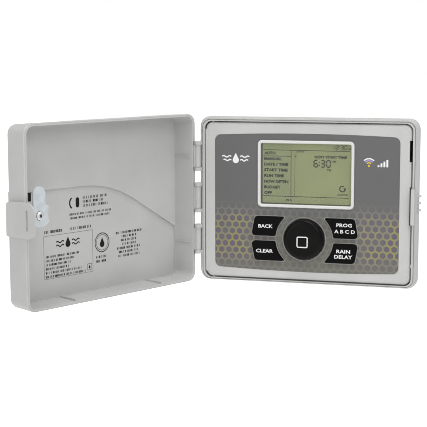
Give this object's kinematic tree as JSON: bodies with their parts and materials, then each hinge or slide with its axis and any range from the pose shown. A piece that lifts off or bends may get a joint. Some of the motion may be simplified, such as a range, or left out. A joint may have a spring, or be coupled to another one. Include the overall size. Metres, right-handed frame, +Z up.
{
  "type": "irrigation controller",
  "caption": "Wall-mounted irrigation controller: grey cabinet with a hinged, cam-locked door and a swing-out panel with a screen, a push-and-turn dial and soft keys.",
  "frame": {"origin": "middle of the cabinet's flat back, on the wall it hangs on", "axes": "+Y into the wall, the cabinet's front and the closed panel face -Y; +Z up; +X to the reader's right"},
  "size_m": [0.4142, 0.3267, 0.2036],
  "materials": {
    "grey_plastic": "fine moulded texture",
    "dark_grey_plastic": "fine moulded texture",
    "printed_label": "matt printed film",
    "white_plastic": "satin",
    "natural_plastic": "plain",
    "black_plastic": "satin",
    "clear_window": "clear, polished",
    "screen": "matt polariser",
    "frosted_plastic": "translucent, satin",
    "steel": "plated",
    "laminated_steel": "varnished",
    "winding_tape": "copper winding under tape",
    "circuit_board": "solder mask",
    "terminal_green": "plain",
    "rubber": "matt",
    "nickel": "plated",
    "ribbon_grey": "plain"
  },
  "bodies": {
    "cabinet": {"cabinet_shell": "grey_plastic", "door_hinge_pin_top": "grey_plastic", "door_hinge_pin_middle": "grey_plastic", "door_hinge_pin_bottom": "grey_plastic", "panel_pin_top": "steel", "panel_pin_bottom": "steel", "transformer_core": "laminated_steel", "transformer_winding": "winding_tape", "transformer_cover": "dark_grey_plastic", "transformer_cover_screw_1": "steel", "transformer_cover_screw_2": "steel", "terminal_board": "circuit_board", "terminal_board_screw_1": "steel", "terminal_board_screw_2": "steel", "terminal_board_screw_3": "steel", "terminal_board_screw_4": "steel", "terminal_block": "terminal_green", "board_connector": "natural_plastic", "ribbon_cable": "ribbon_grey", "conduit_grommet": "rubber", "knockout_plug": "grey_plastic"},
    "door": {"door_shell": "grey_plastic", "lock_barrel": "steel", "lock_nut": "steel"},
    "lock": {"lock_core": "steel", "lock_cam": "frosted_plastic", "lock_cam_screw": "steel"},
    "panel": {"panel_bezel": "grey_plastic", "control_label": "printed_label", "screen_frame": "white_plastic", "screen_window": "clear_window", "screen_glass": "screen", "screen_holder": "natural_plastic", "main_board": "circuit_board", "dial_encoder": "steel", "key_mat": "rubber", "radio_module": "steel", "panel_connector": "terminal_green", "battery_holder": "natural_plastic", "coin_cell": "nickel", "battery_cover": "dark_grey_plastic", "panel_rear_cover": "dark_grey_plastic", "rear_cover_screw_1": "steel", "rear_cover_screw_2": "steel", "rear_cover_screw_3": "steel", "rear_cover_screw_4": "steel"},
    "dial_press": {"dial_push_collar": "natural_plastic"},
    "dial": {"dial_shaft": "steel", "dial_knob": "black_plastic"},
    "back_key": {"key_back": "black_plastic"},
    "clear_key": {"key_clear": "black_plastic"},
    "program_key": {"key_program": "black_plastic"},
    "rain_delay_key": {"key_rain_delay": "black_plastic"}
  },
  "joints": [
    {"name": "door_hinge", "type": "hinge", "parent": "cabinet", "child": "door", "pos_m": [-0.1336, -0.075, 0], "axis": [0, 0, -1], "range_deg": [-115.5, 59.5]},
    {"name": "lock_turn", "type": "hinge", "parent": "door", "child": "lock", "pos_m": [-0.24037, -0.29884, 0.0038], "axis": [0.9026, -0.4305, 0], "range_deg": [-180, 0]},
    {"name": "panel_hinge", "type": "hinge", "parent": "cabinet", "child": "panel", "pos_m": [-0.115, -0.0705, 0], "axis": [0, 0, -1], "range_deg": [0, 100], "deforming": ["ribbon_cable"]},
    {"name": "dial_press", "type": "slide", "parent": "panel", "child": "dial_press", "axis": [0, 1, 0], "range_m": [0, 0.001], "stiffness_N_per_m": 400},
    {"name": "dial_turn", "type": "hinge", "parent": "dial_press", "child": "dial", "pos_m": [-0.0022, -0.075, -0.0448], "axis": [0, -1, 0], "continuous": true},
    {"name": "back_press", "type": "slide", "parent": "panel", "child": "back_key", "axis": [0, 1, 0], "range_m": [0, 0.0012], "stiffness_N_per_m": 300},
    {"name": "clear_press", "type": "slide", "parent": "panel", "child": "clear_key", "axis": [0, 1, 0], "range_m": [0, 0.0012], "stiffness_N_per_m": 300},
    {"name": "program_press", "type": "slide", "parent": "panel", "child": "program_key", "axis": [0, 1, 0], "range_m": [0, 0.0012], "stiffness_N_per_m": 300},
    {"name": "rain_delay_press", "type": "slide", "parent": "panel", "child": "rain_delay_key", "axis": [0, 1, 0], "range_m": [0, 0.0012], "stiffness_N_per_m": 300}
  ]
}
